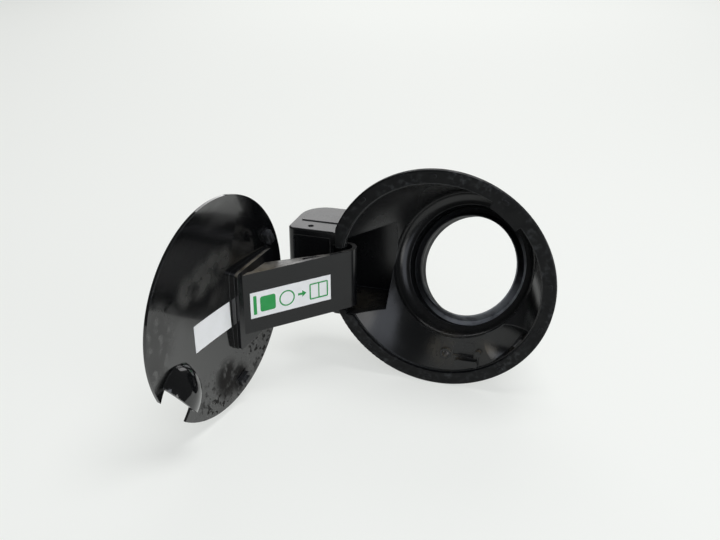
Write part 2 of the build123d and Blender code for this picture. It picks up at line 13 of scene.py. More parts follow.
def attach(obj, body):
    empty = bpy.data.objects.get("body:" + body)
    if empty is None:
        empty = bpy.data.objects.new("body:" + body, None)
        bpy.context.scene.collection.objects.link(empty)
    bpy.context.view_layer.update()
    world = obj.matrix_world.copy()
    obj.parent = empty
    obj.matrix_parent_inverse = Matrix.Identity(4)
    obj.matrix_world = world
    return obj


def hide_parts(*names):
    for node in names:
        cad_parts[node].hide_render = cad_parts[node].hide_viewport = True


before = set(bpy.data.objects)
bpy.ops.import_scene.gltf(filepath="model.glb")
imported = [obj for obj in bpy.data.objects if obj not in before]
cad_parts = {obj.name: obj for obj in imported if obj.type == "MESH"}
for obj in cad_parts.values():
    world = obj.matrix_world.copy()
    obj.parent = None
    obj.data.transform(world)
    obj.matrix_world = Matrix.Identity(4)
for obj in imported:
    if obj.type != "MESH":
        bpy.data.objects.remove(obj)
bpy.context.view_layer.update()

MM = 0.001
LOG = logging.getLogger("fuel_door")

Triple = tuple[float, float, float]
Socket = bpy.types.NodeSocket

UP: Triple = (0, 0, 1)
OUT_OF_BOWL: Triple = (0, -1, 0)
INSIDE_OF_DOOR: Triple = (0.987, -0.162, 0)


class Colour(Enum):
    """Colours of the real materials, as sRGB hex values; some of them also stand for painted light.
    """

    GLOSS_BLACK = "0b0c0d"
    BOWL_BLACK = "121314"
    ARM_BLACK = "0e0f11"
    SEAL_BLACK = "0c0d0e"
    RUBBER_BLACK = "1b1c1e"
    CLIP_BLACK = "191a1b"
    # Grey dust colour, also used to paint sheen on lit upper faces and a reflection on the door.
    GREY_DUST_AND_SHEEN = "8f8d88"
    BEIGE_DUST = "7d735f"
    # Dark dirt colour, darkened so that it also paints the shade by the lower buffer.
    BROWN_DIRT_AND_SHADE = "191715"
    SCUFF_GREY = "6f7274"
    # Pale bloom colour: a dry bloom that also paints the lit lower slope of the neck's lip.
    PALE_BLOOM_AND_SHEEN = "a3a6aa"
    # Pale edge colour: edge wear, and also a painted highlight along edges.
    WORN_EDGE_AND_HIGHLIGHT = "5c5f62"
    STEEL = "a9abad"
    RUST = "5b4632"
    FILM_WHITE = "f6f7f8"
    FILM_AGED = "e9eae6"
    PRINT_GREEN = "1f9a4a"
    PRINT_GREEN_WORN = "35a55c"
    PAPER = "f1f3f0"


class Join(Enum):
    """Ways of putting masks together: where all of them are, or where any of them is."""

    OVERLAP = "MULTIPLY"
    EITHER = "MAXIMUM"


def linear(colour: Colour) -> tuple[float, float, float, float]:
    """Turn an sRGB hex colour into linear light.

    Args:
        colour: The colour to turn.

    Returns:
        Red, green, blue and a full alpha.
    """
    shares = [int(colour.value[i : i + 2], 16) / 255 for i in (0, 2, 4)]
    lit = [s / 12.92 if s <= 0.04045 else ((s + 0.055) / 1.055) ** 2.4 for s in shares]
    return (*lit, 1.0)


@dataclass(frozen=True)
class Patch:
    """Soft-edged patches of a real size.

    Attributes:
        size_mm: Width of one patch.
        low: Noise level at which a patch begins.
        high: Noise level at which it is full.
        detail: How broken its edge is.
        seed: Offset that gives another layout.
    """

    size_mm: float
    low: float
    high: float
    detail: float = 4.0
    seed: float = 0.0


@dataclass(frozen=True)
class Scratch:
    """Fine scratches that run one way.

    Attributes:
        width_mm: Width of a scratch.
        turn: Rotation of their direction, in degrees.
        low: Noise level at which a scratch begins.
        seed: Offset that gives another layout.
        ramp: Further noise level at which it is full.
        stretch: Width of a scratch as a share of its length.
        detail: How broken its edge is.
    """

    width_mm: float
    turn: Triple
    low: float
    seed: float
    ramp: float = 0.05
    stretch: float = 0.03
    detail: float = 2.0


@dataclass(frozen=True)
class Aspect:
    """Faces that look one way.

    Attributes:
        way: The direction, of length one.
        low: Share of that direction at which a face begins to count.
        high: Share at which it counts fully.
    """

    way: Triple
    low: float
    high: float


@dataclass(frozen=True)
class Deposit:
    """Dust, dirt or bloom round a point of the part; some of these also paint shade, sheen or
    reflection.

    Attributes:
        point_mm: The point, in the part's own frame.
        reach_mm: Distance from the point at which it has faded away.
        share: How much of it covers at the most.
    """

    point_mm: Triple
    reach_mm: float
    share: float


class Surface:
    """A material being made: its nodes, and its colour, roughness and coat so far."""

    # Numbers of the Mix node's sockets for what lies under, what lies over, and the result.
    VALUE_SOCKETS = (2, 3, 0)
    COLOUR_SOCKETS = (6, 7, 2)
    # How far a rounded normal turns from the plain one where an edge begins and is full, as cosines.
    EDGE_BEGINS, EDGE_FULL = 0.96, 0.7
    EDGE_SAMPLES = 6
    GRAIN_DETAIL = 2.0

    def __init__(self, name: str, colour: Colour, roughness: float, coat: float = 0.0) -> None:
        """Start a material.

        Args:
            name: The real material and how its surface was made.
            colour: Its own colour.
            roughness: Its own roughness.
            coat: Weight of a clear coat on it.
        """
        self.material = bpy.data.materials.new(name)
        self.material.use_nodes = True
        self.tree = self.material.node_tree
        self.tree.nodes.clear()
        self.shader = self.add("ShaderNodeBsdfPrincipled")
        self.output = self.add("ShaderNodeOutputMaterial", {"Surface": self.shader.outputs["BSDF"]})
        coordinates = self.add("ShaderNodeTexCoord").outputs
        self.place = coordinates["Object"]
        self.outward = coordinates["Normal"]
        self.looks: dict[str, Socket | tuple[float, ...] | float] = {
            "colour": linear(colour),
            "roughness": roughness,
            "coat": coat,
        }

    def wire(self, node: bpy.types.Node, inputs: dict) -> None:
        """Set or link a node's inputs.

        Args:
            node: The node.
            inputs: Values or output sockets for its inputs, by name or number.
        """
        for key, value in inputs.items():
            if isinstance(value, Socket):
                self.tree.links.new(value, node.inputs[key])
            else:
                node.inputs[key].default_value = value

    def add(self, kind: str, inputs: dict | None = None, **settings: object) -> bpy.types.Node:
        """Add a node with its settings and links.

        Args:
            kind: Blender's name of the node type.
            inputs: Values or output sockets for its inputs, by name or number.
            settings: Attributes of the node.

        Returns:
            The new node.
        """
        made = self.tree.nodes.new(kind)
        for name, value in settings.items():
            setattr(made, name, value)
        self.wire(made, inputs or {})
        return made

    def mask(
        self, kind: str, inputs: dict, empty: float, full: float, **settings: object
    ) -> Socket:
        """Measure something with a node and ease what it says into a mask.

        Args:
            kind: Blender's name of the measuring node's type.
            inputs: Values or output sockets for its inputs, by name or number.
            empty: Measure at which the mask is empty.
            full: Measure at which it is full.
            settings: Attributes of the measuring node.

        Returns:
            A mask from 0 to 1.
        """
        measuring = self.add(kind, inputs, **settings)
        measure = next(output for output in measuring.outputs if output.type == "VALUE")
        eased = self.add(
            "ShaderNodeMapRange",
            {"Value": measure, "From Min": empty, "From Max": full},
            interpolation_type="SMOOTHSTEP",
        )
        return eased.outputs[0]

    def join(self, way: Join, *masks: Socket | float) -> Socket:
        """Put masks together.

        Args:
            way: How they are put together.
            masks: The masks, or plain numbers.

        Returns:
            A mask from 0 to 1.
        """
        result = masks[0]
        for mask in masks[1:]:
            result = self.add("ShaderNodeMath", {0: result, 1: mask}, operation=way.value).outputs[0]
        return result

    def patches(self, patch: Patch) -> Socket:
        """Scatter patches over the part.

        Args:
            patch: What they are like.

        Returns:
            A mask from 0 to 1.
        """
        return self.mask(
            "ShaderNodeTexNoise",
            {
                "Vector": self.place,
                "W": patch.seed,
                "Scale": 1 / (patch.size_mm * MM),
                "Detail": patch.detail,
            },
            patch.low,
            patch.high,
            noise_dimensions="4D",
        )

    def scratches(self, scratch: Scratch) -> Socket:
        """Draw fine scratches that run one way.

        Args:
            scratch: What they are like.

        Returns:
            A mask from 0 to 1.
        """
        stretched = self.add(
            "ShaderNodeMapping",
            {
                "Vector": self.place,
                "Rotation": [math.radians(angle) for angle in scratch.turn],
                "Scale": (1, 1, scratch.stretch),
            },
        )
        return self.mask(
            "ShaderNodeTexNoise",
            {
                "Vector": stretched.outputs[0],
                "W": scratch.seed,
                "Scale": 1 / (scratch.width_mm * MM),
                "Detail": scratch.detail,
            },
            scratch.low,
            scratch.low + scratch.ramp,
            noise_dimensions="4D",
        )

    def near(self, deposit: Deposit, core: float) -> Socket:
        """Find the surroundings of a deposit's point.

        Args:
            deposit: The deposit.
            core: Share of its reach in which the mask is full.

        Returns:
            A mask from 0 to 1.
        """
        reach = deposit.reach_mm * MM
        return self.mask(
            "ShaderNodeVectorMath",
            {0: self.place, 1: [c * MM for c in deposit.point_mm]},
            reach,
            reach * core,
            operation="DISTANCE",
        )

    def facing(self, aspect: Aspect) -> Socket:
        """Find the faces that look one way, such as up, where dust settles.

        Args:
            aspect: The way, and how closely they follow it.

        Returns:
            A mask from 0 to 1.
        """
        return self.mask(
            "ShaderNodeVectorMath",
            {0: self.outward, 1: aspect.way},
            aspect.low,
            aspect.high,
            operation="DOT_PRODUCT",
        )

    def soft_edges(self, radius_mm: float) -> tuple[Socket, Socket]:
        """Round the sharp edges for the light, and find them for wear and a painted edge highlight.

        Args:
            radius_mm: Radius of the moulded edge.

        Returns:
            The rounded normal and a mask of the edges.
        """
        rounded = self.add(
            "ShaderNodeBevel", {"Radius": radius_mm * MM}, samples=self.EDGE_SAMPLES
        ).outputs[0]
        plain = self.add("ShaderNodeNewGeometry").outputs["Normal"]
        edges = self.mask(
            "ShaderNodeVectorMath",
            {0: rounded, 1: plain},
            self.EDGE_BEGINS,
            self.EDGE_FULL,
            operation="DOT_PRODUCT",
        )
        return rounded, edges

    def grain(self, size_mm: float, depth_mm: float, under: Socket) -> Socket:
        """Raise the grain of the mould as bump, drawn as coarse as it needs to show.

        Args:
            size_mm: Width of one grain.
            depth_mm: Height of the grain.
            under: Normal that the grain lies on.

        Returns:
            The grained normal.
        """
        noise = self.add(
            "ShaderNodeTexNoise",
            {"Vector": self.place, "Scale": 1 / (size_mm * MM), "Detail": self.GRAIN_DETAIL},
        )
        return self.add(
            "ShaderNodeBump",
            {
                "Height": noise.outputs[0],
                "Distance": depth_mm * MM,
                "Strength": 1.0,
                "Normal": under,
            },
        ).outputs[0]

    def lay(self, mask: Socket, share: float = 1.0, **looks: Colour | float) -> None:
        """Lay dust, dirt, wear or painted light over what is there so far.

        Args:
            mask: Where it lies.
            share: How much of it covers at the most.
            looks: The colour, roughness or coat that it has of its own.
        """
        cover = mask if share == 1.0 else self.join(Join.OVERLAP, mask, share)
        for name, look in looks.items():
            coloured = isinstance(look, Colour)
            under, over, result = self.COLOUR_SOCKETS if coloured else self.VALUE_SOCKETS
            mixed = self.add(
                "ShaderNodeMix",
                {0: cover, under: self.looks[name], over: linear(look) if coloured else look},
                data_type="RGBA" if coloured else "FLOAT",
            )
            self.looks[name] = mixed.outputs[result]

    def finish(self, inputs: dict) -> bpy.types.Material:
        """Give the shader its looks and its other inputs.

        Args:
            inputs: Values or output sockets for the other inputs, by name.

        Returns:
            The finished material.
        """
        looks = {
            "Base Color": self.looks["colour"],
            "Roughness": self.looks["roughness"],
            "Coat Weight": self.looks["coat"],
        }
        self.wire(self.shader, {**looks, **inputs})
        return self.material


@dataclass(frozen=True)
class SatinMoulding:
    """Polypropylene or polyamide from a spark-eroded mould: black, with a broad hazy sheen."""

    name: str
    colour: Colour
    roughness: float
    grain_mm: float
    edge_mm: float
    dust_and_sheen_share: float
    deposits: tuple[Deposit, ...]
    ior: float = 1.45
    grain_depth_mm: float = 0.003
    level: Aspect = Aspect(UP, 0.2, 0.9)
    film: Patch = Patch(11, 0.3, 0.7)
    rubbed_and_highlit: Patch = Patch(9, 0.3, 0.6, seed=2.0)
    rubbed_and_highlit_share: float = 0.5
    uneven: Patch = Patch(20, 0.35, 0.7, seed=3.0)
    uneven_extra: float = 0.06
    ledge: Aspect = Aspect(UP, 0.0, 0.5)
    powder: Patch = Patch(4, 0.15, 0.7, detail=8.0, seed=8.0)
    powder_core: float = 0.15
    powder_roughness: float = 0.8
    scuffs: Scratch = Scratch(0.5, (20, 35, 10), 0.66, 5.0)
    scuffed: Patch = Patch(20, 0.5, 0.7)
    scuff_share: float = 0.12

    def material(self) -> bpy.types.Material:
        """Make the finish: soft reflections, worn edges that also paint an edge highlight, an upward
        grey film that also paints a sheen, and powdery dust in the corners.

        Returns:
            The material.
        """
        s = Surface(self.name, self.colour, self.roughness)
        rounded, edges = s.soft_edges(self.edge_mm)
        # Grey film on upward faces: dust, and where it is laid thick, a painted sheen of the lit
        # top.
        film = s.join(Join.OVERLAP, s.facing(self.level), s.patches(self.film))
        s.lay(film, self.dust_and_sheen_share, colour=Colour.GREY_DUST_AND_SHEEN)
        rubbed_and_highlit = s.join(Join.OVERLAP, edges, s.patches(self.rubbed_and_highlit))
        # Pale paint on worn edges, laid strongly enough that it also paints a thin edge highlight.
        s.lay(rubbed_and_highlit, self.rubbed_and_highlit_share, colour=Colour.WORN_EDGE_AND_HIGHLIGHT)
        s.lay(s.patches(self.uneven), roughness=self.roughness + self.uneven_extra)
        powder = s.join(Join.OVERLAP, s.patches(self.powder), s.facing(self.ledge))
        for deposit in self.deposits:
            heap = s.join(Join.OVERLAP, s.near(deposit, self.powder_core), powder)
            s.lay(heap, deposit.share, colour=Colour.BEIGE_DUST, roughness=self.powder_roughness)
        scuffs = s.join(Join.OVERLAP, s.scratches(self.scuffs), s.patches(self.scuffed))
        s.lay(scuffs, self.scuff_share, colour=Colour.SCUFF_GREY)
        grained = s.grain(self.grain_mm, self.grain_depth_mm, rounded)
        return s.finish({"IOR": self.ior, "Normal": grained})


@dataclass(frozen=True)
class GlossPanel:
    """Painted ABS panel: deep black gloss, with dull dirt on its inner face that is darkened in
    places to paint shade, and grey haze that paints a reflection.
    """

    name: str
    dirt_and_shade: tuple[Deposit, ...]
    mottle: tuple[Deposit, ...]
    # Where grey haze dulls the panel and paints a reflection of the bright floor on its inner face.
    haze_and_reflection: tuple[Deposit, ...]
    inside: Aspect = Aspect(INSIDE_OF_DOOR, 0.2, 0.6)
    core: float = 0.35
    edge_mm: float = 0.5
    edge_wear_and_highlight_share: float = 0.4
    ior: float = 1.5
    roughness: float = 0.06
    smear: Patch = Patch(22, 0.42, 0.68, seed=1.0)
    smear_roughness: float = 0.16
    dirt_and_shade_patch: Patch = Patch(7, 0.3, 0.5, detail=8.0, seed=6.0)
    mottle_patch: Patch = Patch(2.6, 0.5, 0.62, detail=8.0, seed=9.0)
    dirt_and_shade_share: float = 0.8
    dull_roughness: float = 1.0
    reflection_haze_patch: Patch = Patch(12, 0.2, 0.6, detail=5.0, seed=5.0)
    reflection_dust_share: float = 0.12
    haze_roughness: float = 0.35
    specks_and_glints: Patch = Patch(1.0, 0.56, 0.7, seed=3.0)
    speck_and_glint_share: float = 0.35
    swirls: Scratch = Scratch(0.35, (70, 10, 25), 0.68, 4.0)
    swirled: Patch = Patch(30, 0.5, 0.68)
    swirl_share: float = 0.15
    coat: float = 0.6
    coat_roughness: float = 0.05

    def material(self) -> bpy.types.Material:
        """Make the finish: clear reflections that break up where dirt lies on the paint, with the
        dirt darkened to paint shade and grey haze and pale specks painting reflections.

        Returns:
            The material.
        """
        s = Surface(self.name, Colour.GLOSS_BLACK, self.roughness, self.coat)
        rounded, edges = s.soft_edges(self.edge_mm)
        dirt_and_shade = self.spread(s, self.dirt_and_shade, self.dirt_and_shade_patch)
        mottle = self.spread(s, self.mottle, self.mottle_patch)
        dull = s.join(Join.EITHER, dirt_and_shade, mottle)
        haze_and_reflection = self.spread(s, self.haze_and_reflection, self.reflection_haze_patch)
        specks_and_glints = self.spread(s, self.mottle, self.specks_and_glints)
        swirls = s.join(Join.OVERLAP, s.scratches(self.swirls), s.patches(self.swirled))
        s.lay(s.patches(self.smear), roughness=self.smear_roughness)
        s.lay(swirls, self.swirl_share, colour=Colour.SCUFF_GREY)
        s.lay(haze_and_reflection, roughness=self.haze_roughness)
        # Grey dust in the haze and pale specks in the mottled dirt paint reflections and glints of
        # the gloss.
        reflection_dust = s.join(Join.OVERLAP, haze_and_reflection, self.reflection_dust_share)
        dust_and_reflection = s.join(Join.EITHER, reflection_dust, s.join(Join.OVERLAP, specks_and_glints, self.speck_and_glint_share))
        s.lay(dust_and_reflection, colour=Colour.GREY_DUST_AND_SHEEN)
        # Dark dirt, which also paints the shade round the lower buffer.
        s.lay(dull, self.dirt_and_shade_share, colour=Colour.BROWN_DIRT_AND_SHADE)
        s.lay(dull, roughness=self.dull_roughness)
        # Pale paint on the panel's edges: edge wear and a painted rim highlight.
        s.lay(edges, self.edge_wear_and_highlight_share, colour=Colour.WORN_EDGE_AND_HIGHLIGHT)
        s.lay(s.join(Join.EITHER, dull, haze_and_reflection), coat=0.0)
        return s.finish(
            {
                "IOR": self.ior,
                "Normal": rounded,
                "Coat Roughness": self.coat_roughness,
                "Coat IOR": self.ior,
            }
        )

    def spread(self, s: Surface, deposits: tuple[Deposit, ...], patch: Patch) -> Socket:
        """Spread deposits over the panel's inner face.

        Args:
            s: The material being made.
            deposits: Where they lie.
            patch: How they break up.

        Returns:
            A mask from 0 to 1.
        """
        spots = [s.join(Join.OVERLAP, s.near(d, self.core), d.share) for d in deposits]
        anywhere = s.join(Join.EITHER, *spots)
        return s.join(Join.OVERLAP, anywhere, s.patches(patch), s.facing(self.inside))


@dataclass(frozen=True)
class SoftRubber:
    """Moulded elastomer: matte and dark, with pale worn blotches, and pale edges and slopes that
    also paint highlights and sheen.
    """

    name: str
    colour: Colour
    roughness: float
    wear: float
    specular: float
    bloom_and_sheen: tuple[Deposit, ...] = ()
    bloom_and_sheen_core: float = 0.5
    bloom_and_sheen_patch: Patch = Patch(6, 0.1, 0.6, seed=4.0)
    outwards: Aspect = Aspect(OUT_OF_BOWL, 0.4, 0.8)
    dry: Patch = Patch(3.2, 0.46, 0.7, seed=2.0)
    dried: Patch = Patch(16, 0.35, 0.65, seed=7.0)
    edge_mm: float = 0.6
    rubbed_and_highlit: Patch = Patch(6, 0.3, 0.6)
    rubbed_and_highlit_share: float = 0.5
    uneven: Patch = Patch(10, 0.4, 0.65)
    uneven_extra: float = 0.15
    grain_mm: float = 0.7
    grain_depth_mm: float = 0.02
    ior: float = 1.5

    def material(self) -> bpy.types.Material:
        """Make the finish: no clear reflections, scuffs that show as dry grey marks, and pale edges
        and slopes that also paint highlights and sheen.

        Returns:
            The material.
        """
        s = Surface(self.name, self.colour, self.roughness)
        rounded, edges = s.soft_edges(self.edge_mm)
        dry = s.join(Join.OVERLAP, s.patches(self.dry), s.patches(self.dried))
        s.lay(dry, self.wear, colour=Colour.SCUFF_GREY)
        for deposit in self.bloom_and_sheen:
            spot = s.near(deposit, self.bloom_and_sheen_core)
            slope = s.facing(self.outwards)
            pale = s.join(Join.OVERLAP, spot, slope, s.patches(self.bloom_and_sheen_patch))
            # A pale dry patch on the outward slope, which also paints the sheen of the lit slope.
            s.lay(pale, deposit.share, colour=Colour.PALE_BLOOM_AND_SHEEN)
        rubbed_and_highlit = s.join(Join.OVERLAP, edges, s.patches(self.rubbed_and_highlit))
        # Pale paint on worn edges, which also paints a thin edge highlight.
        s.lay(rubbed_and_highlit, self.rubbed_and_highlit_share, colour=Colour.WORN_EDGE_AND_HIGHLIGHT)
        s.lay(s.patches(self.uneven), roughness=self.roughness + self.uneven_extra)
        grained = s.grain(self.grain_mm, self.grain_depth_mm, rounded)
        return s.finish(
            {"IOR": self.ior, "Normal": grained, "Specular IOR Level": self.specular}
        )


@dataclass(frozen=True)
class SpringSteel:
    """Cold-rolled steel, plain and a little stained."""

    name: str
    roughness: float = 0.3
    stains: Patch = Patch(2, 0.5, 0.7)
    stain_share: float = 0.5
    dull: Patch = Patch(1.2, 0.4, 0.6)
    dull_roughness: float = 0.5

    def material(self) -> bpy.types.Material:
        """Make the finish: a dull metal with brown stains.

        Returns:
            The material.
        """
        s = Surface(self.name, Colour.STEEL, self.roughness)
        s.lay(s.patches(self.stains), self.stain_share, colour=Colour.RUST)
        s.lay(s.patches(self.dull), roughness=self.dull_roughness)
        return s.finish({"Metallic": 1.0})


@dataclass(frozen=True)
class PrintedFilm:
    """Vinyl film or ink on it: smooth, even and slightly shiny."""

    name: str
    colour: Colour
    tone: Colour
    roughness: float = 0.32
    aged: Patch = Patch(7, 0.4, 0.75)
    aged_share: float = 0.35
    uneven: Patch = Patch(4, 0.4, 0.6)
    uneven_roughness: float = 0.42
    ior: float = 1.46

    def material(self) -> bpy.types.Material:
        """Make the finish: a plain colour with faint ageing.

        Returns:
            The material.
        """
        s = Surface(self.name, self.colour, self.roughness)
        s.lay(s.patches(self.aged), self.aged_share, colour=self.tone)
        s.lay(s.patches(self.uneven), roughness=self.uneven_roughness)
        return s.finish({"IOR": self.ior})


def begin() -> None:
    """Leave edit mode and deselect everything."""
    if bpy.context.object and bpy.context.object.mode != "OBJECT":
        bpy.ops.object.mode_set(mode="OBJECT")
    bpy.ops.object.select_all(action="DESELECT")


def pick(test: Callable[[Vector], bool]) -> None:
    """Select the active mesh's vertices, and what lies between them, by their place.

    Args:
        test: Says of a place whether it is picked.
    """
    bpy.ops.object.mode_set(mode="OBJECT")
    mesh = bpy.context.object.data
    for vertex in mesh.vertices:
        vertex.select = test(vertex.co)
    for part in (*mesh.edges, *mesh.polygons):
        part.select = all(mesh.vertices[i].select for i in part.vertices)
    bpy.ops.object.mode_set(mode="EDIT")


def corner_keys(mesh: bpy.types.Mesh) -> dict[int, tuple]:
    """Tell a mesh's corners apart by their own place and the places of their whole face.

    Args:
        mesh: The mesh.

    Returns:
        The key of each corner, by the corner's number.
    """
    keys = {}
    for face in mesh.polygons:
        places = [tuple(mesh.vertices[i].co) for i in face.vertices]
        for corner, place in zip(face.loop_indices, places):
            keys[corner] = (frozenset(places), place)
    return keys


def dress(node: str, material: bpy.types.Material) -> None:
    """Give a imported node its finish.

    Args:
        node: Name of the node.
        material: The finish.
    """
    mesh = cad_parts[node].data
    mesh.materials.clear()
    mesh.materials.append(material)
    LOG.info("dressed %s in %s", node, material.name)


@dataclass
class FilmFrame:
    """Plane of a flat sticker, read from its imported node."""

    node: str
    outward: Vector
    facing_share: float = 0.5

    def __post_init__(self) -> None:
        """Find the sticker's face, its corner and its two directions."""
        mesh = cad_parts[self.node].data
        mesh.calc_loop_triangles()
        faces = [t for t in mesh.loop_triangles if t.normal.dot(self.outward) > self.facing_share]
        biggest = max(faces, key=lambda t: t.area)
        self.normal = biggest.normal.copy()
        self.up = (Vector(UP) - self.normal * self.normal.z).normalized()
        self.right = self.up.cross(self.normal)
        corners = [mesh.vertices[i].co for t in faces for i in t.vertices]
        left = min(c.dot(self.right) for c in corners)
        low = min(c.dot(self.up) for c in corners)
        depth = max(c.dot(self.normal) for c in corners)
        self.corner = self.right * left + self.up * low + self.normal * depth

    def matrix(self) -> Matrix:
        """Give the transform from the sticker's own plane to the part's frame.

        Returns:
            The transform.
        """
        turn = Matrix((self.right, self.up, self.normal)).transposed().to_4x4()
        turn.translation = self.corner
        return turn


@dataclass(frozen=True)
class Tile:
    """A tile of ink, in millimetres from the sticker's lower left corner."""

    left: float
    low: float
    width: float
    height: float
    corner: float = 0.0


@dataclass(frozen=True)
class Ring:
    """A ring of ink: its centre, its radius and the width of its line, in millimetres."""

    across: float
    up: float
    radius: float
    line: float


@dataclass(frozen=True)
class Arrow:
    """An arrow of ink that points right: its start, its middle, its length and its head's width."""

    left: float
    up: float
    length: float
    width: float


@dataclass
class LabelPrint:
    """Ink on a sticker: shapes modelled flat in its plane, then laid on its face."""

    film: FilmFrame
    ink_mm: float = 0.06
    corner_segments: int = 4
    ring_vertices: int = 40
    shapes: list[bpy.types.Object] = field(default_factory=list)

    def plate(self, tile: Tile) -> None:
        """Start a flat plate with round or sharp corners, in edit mode.

        Args:
            tile: Its place and size.
        """
        centre = (tile.left + tile.width / 2, tile.low + tile.height / 2)
        begin()
        bpy.ops.mesh.primitive_plane_add(size=MM)
        bpy.ops.object.mode_set(mode="EDIT")
        bpy.ops.transform.resize(value=(tile.width, tile.height, 1))
        bpy.ops.transform.translate(value=(centre[0] * MM, centre[1] * MM, 0))
        if tile.corner:
            bpy.ops.mesh.bevel(
                offset=tile.corner * MM, segments=self.corner_segments, affect="VERTICES"
            )

    def hollow(self, line: float) -> None:
        """Keep only a line along the plate's edge.

        Args:
            line: Width of the line.
        """
        bpy.ops.mesh.select_all(action="SELECT")
        bpy.ops.mesh.inset(thickness=line * MM)
        bpy.ops.mesh.delete(type="FACE")

    def thicken(self) -> None:
        """Raise the plate by the thickness of the ink and keep it."""
        bpy.ops.mesh.select_all(action="SELECT")
        bpy.ops.mesh.extrude_region_move(
            TRANSFORM_OT_translate={"value": (0, 0, self.ink_mm * MM)}
        )
        bpy.ops.mesh.select_all(action="SELECT")
        bpy.ops.mesh.normals_make_consistent(inside=False)
        bpy.ops.object.mode_set(mode="OBJECT")
        self.shapes.append(bpy.context.object)

    def tile(self, tile: Tile) -> None:
        """Print a filled tile."""
        self.plate(tile)
        self.thicken()

    def frame(self, tile: Tile, line: float) -> None:
        """Print the outline of a tile.

        Args:
            tile: The tile.
            line: Width of its line.
        """
        self.plate(tile)
        self.hollow(line)
        self.thicken()

    def ring(self, ring: Ring) -> None:
        """Print a ring.

        Args:
            ring: Its place and size.
        """
        begin()
        bpy.ops.mesh.primitive_circle_add(
            vertices=self.ring_vertices,
            radius=ring.radius * MM,
            fill_type="NGON",
            location=(ring.across * MM, ring.up * MM, 0),
        )
        bpy.ops.object.mode_set(mode="EDIT")
        self.hollow(ring.line)
        self.thicken()

    def arrow(self, arrow: Arrow) -> None:
        """Print an arrow: a plate drawn to a point, with its shaft drawn out of the plate's back.

        Args:
            arrow: Its place and size.
        """
        head = arrow.length / 2
        back = arrow.left + arrow.length - head
        border = (back + head / 4) * MM
        shaft = arrow.width * MM / 4
        self.plate(Tile(back, arrow.up - arrow.width / 2, head, arrow.width))
        pick(lambda place: place.x > border)
        bpy.ops.mesh.merge(type="CENTER")
        pick(lambda place: place.x < border)
        bpy.ops.mesh.subdivide(number_cuts=2)
        pick(lambda place: place.x < border and abs(place.y - arrow.up * MM) < shaft)
        bpy.ops.mesh.extrude_edges_move(
            TRANSFORM_OT_translate={"value": ((head - arrow.length) * MM, 0, 0)}
        )
        self.thicken()

    def lay(self, name: str, body: str, ink: bpy.types.Material) -> None:
        """Join the shapes into one piece on the sticker's face.

        Args:
            name: Name of the piece.
            body: Body that it moves with.
            ink: Its finish.
        """
        begin()
        for shape in self.shapes:
            shape.select_set(True)
        bpy.context.view_layer.objects.active = self.shapes[0]
        bpy.ops.object.join()
        print_piece = bpy.context.object
        print_piece.name = name
        print_piece.matrix_world = self.film.matrix() @ print_piece.matrix_world
        bpy.ops.object.transform_apply(location=True, rotation=True, scale=True)
        print_piece.data.materials.clear()
        print_piece.data.materials.append(ink)
        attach(print_piece, body)
        LOG.info("printed %s on %s", name, self.film.node)


@dataclass
class Bowl:
    """The filler bowl with its seals, catch and hinge pieces."""

    deposits: tuple[Deposit, ...] = (
        Deposit((6, 4, -57), 18, 0.38),
        Deposit((33, 2, -50), 13, 0.34),
        Deposit((55, 2, -40), 13, 0.34),
        Deposit((-62, 22, -35), 24, 0.16),
    )
    # Where the neck's lip carries a pale bloom that also paints its lit lower slope.
    bloom_and_sheen: tuple[Deposit, ...] = (Deposit((36, 30, -32), 62, 0.9),)

    def build(self) -> None:
        """Dress every piece of the bowl."""
        # Moulded polypropylene has a fine even grain, so a light spreads on it into a soft sheen.
        plastic = SatinMoulding(
            "polypropylene_moulded_satin",
            Colour.BOWL_BLACK,
            roughness=0.22,
            grain_mm=0.6,
            edge_mm=0.8,
            dust_and_sheen_share=0.03,
            deposits=self.deposits,
        )
        dress("filler_bowl", plastic.material())
        # The flange's soft ring is dull, with grey blotches where it has rubbed on the bodywork.
        seal = SoftRubber(
            "elastomer_moulded_matte", Colour.SEAL_BLACK, roughness=0.5, wear=0.22, specular=0.2
        )
        dress("flange_seal", seal.material())
        # The neck's rubber is even and dark, with a pale dry bloom on the lower slope of its lip
        # that also paints the sheen where that slope catches the light.
        lip = SoftRubber(
            "rubber_moulded_satin",
            Colour.RUBBER_BLACK,
            roughness=0.5,
            wear=0.1,
            specular=0.3,
            bloom_and_sheen=self.bloom_and_sheen,
        )
        dress("neck_seal", lip.material())
        # The catch is bare polyamide, scuffed pale where the door's tongue has struck it.
        catch = SoftRubber(
            "polyamide_moulded_worn", Colour.CLIP_BLACK, roughness=0.4, wear=0.5, specular=0.5
        )
        dress("catch", catch.material())
        # Cold-rolled steel is a dull grey metal with a few brown stains.
        steel = SpringSteel("steel_cold_rolled").material()
        dress("hinge_pin", steel)
        dress("detent_spring", steel)


